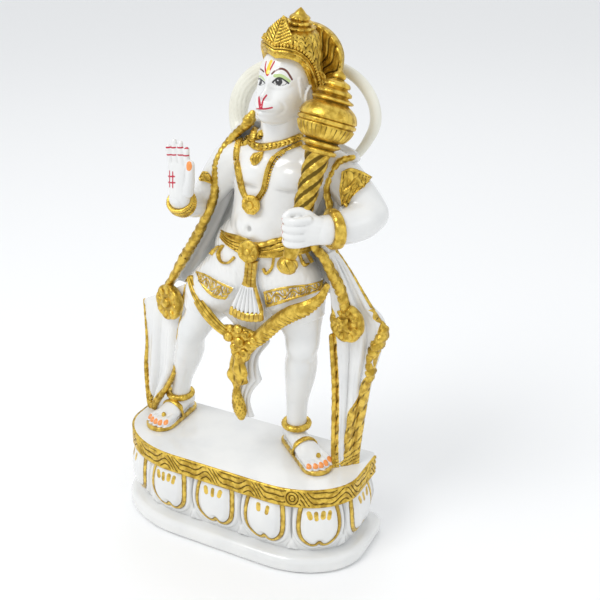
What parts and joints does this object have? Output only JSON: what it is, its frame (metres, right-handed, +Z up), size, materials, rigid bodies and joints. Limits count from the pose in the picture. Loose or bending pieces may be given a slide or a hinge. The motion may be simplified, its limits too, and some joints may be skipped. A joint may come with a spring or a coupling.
{
  "type": "hanuman figure",
  "caption": "Painted cast figure of the monkey-faced god Hanuman, palm raised and mace at the shoulder, with a looped tail and a shawl, on a lotus-petal plinth.",
  "frame": {"origin": "middle of the plinth's flat underside", "axes": "+Z up, the figure faces -Y, its left hand and the mace are on +X"},
  "size_m": [0.2038, 0.0895, 0.3807],
  "materials": {
    "plinth_marble": "cast marble dust, glossy white, gold-painted carving",
    "figure_marble": "cast marble dust, glossy white, gold-painted carving",
    "tail_cream": "cast marble dust, satin cream white"
  },
  "bodies": {
    "root": {"plinth": "plinth_marble", "figure": "figure_marble", "tail": "tail_cream"}
  },
  "joints": []
}
